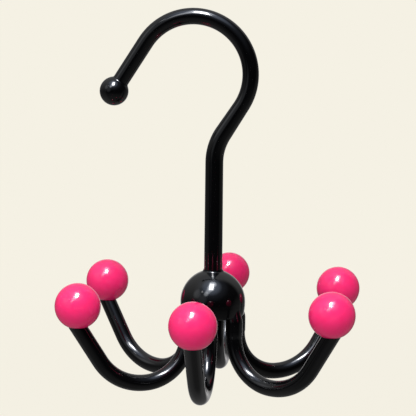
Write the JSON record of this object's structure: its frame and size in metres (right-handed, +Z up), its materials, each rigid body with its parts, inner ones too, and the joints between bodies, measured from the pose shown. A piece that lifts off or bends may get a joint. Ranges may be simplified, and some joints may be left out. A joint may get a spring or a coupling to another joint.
{
  "type": "tie hanger",
  "caption": "Hanging tie holder: a bent hook swivels in a round hub that carries a claw of J-shaped arms with coloured ball ends.",
  "frame": {"origin": "the spot under the top of the hook's arch, where the rail touches it", "axes": "+Z up along the shaft; the hook lies in the plane y = 0 and its tip points to -X; the first arm points to -Y, the front"},
  "size_m": [0.1424, 0.161, 0.1855],
  "materials": {
    "black_plastic": "polished black moulding",
    "pink_plastic": "polished pink moulding",
    "steel": "zinc plated"
  },
  "bodies": {
    "hook_body": {"hook": "black_plastic", "swivel_washer": "steel", "swivel_screw": "steel"},
    "claw": {"hub_dome": "black_plastic", "hub_base": "black_plastic", "arm_1": "black_plastic", "arm_2": "black_plastic", "arm_3": "black_plastic", "arm_4": "black_plastic", "arm_5": "black_plastic", "arm_6": "black_plastic", "ball_1": "pink_plastic", "ball_2": "pink_plastic", "ball_3": "pink_plastic", "ball_4": "pink_plastic", "ball_5": "pink_plastic", "ball_6": "pink_plastic"}
  },
  "joints": [
    {"name": "swivel", "type": "hinge", "parent": "hook_body", "child": "claw", "pos_m": [0.01079, 0, -0.13549], "axis": [0, 0, 1], "continuous": true}
  ]
}
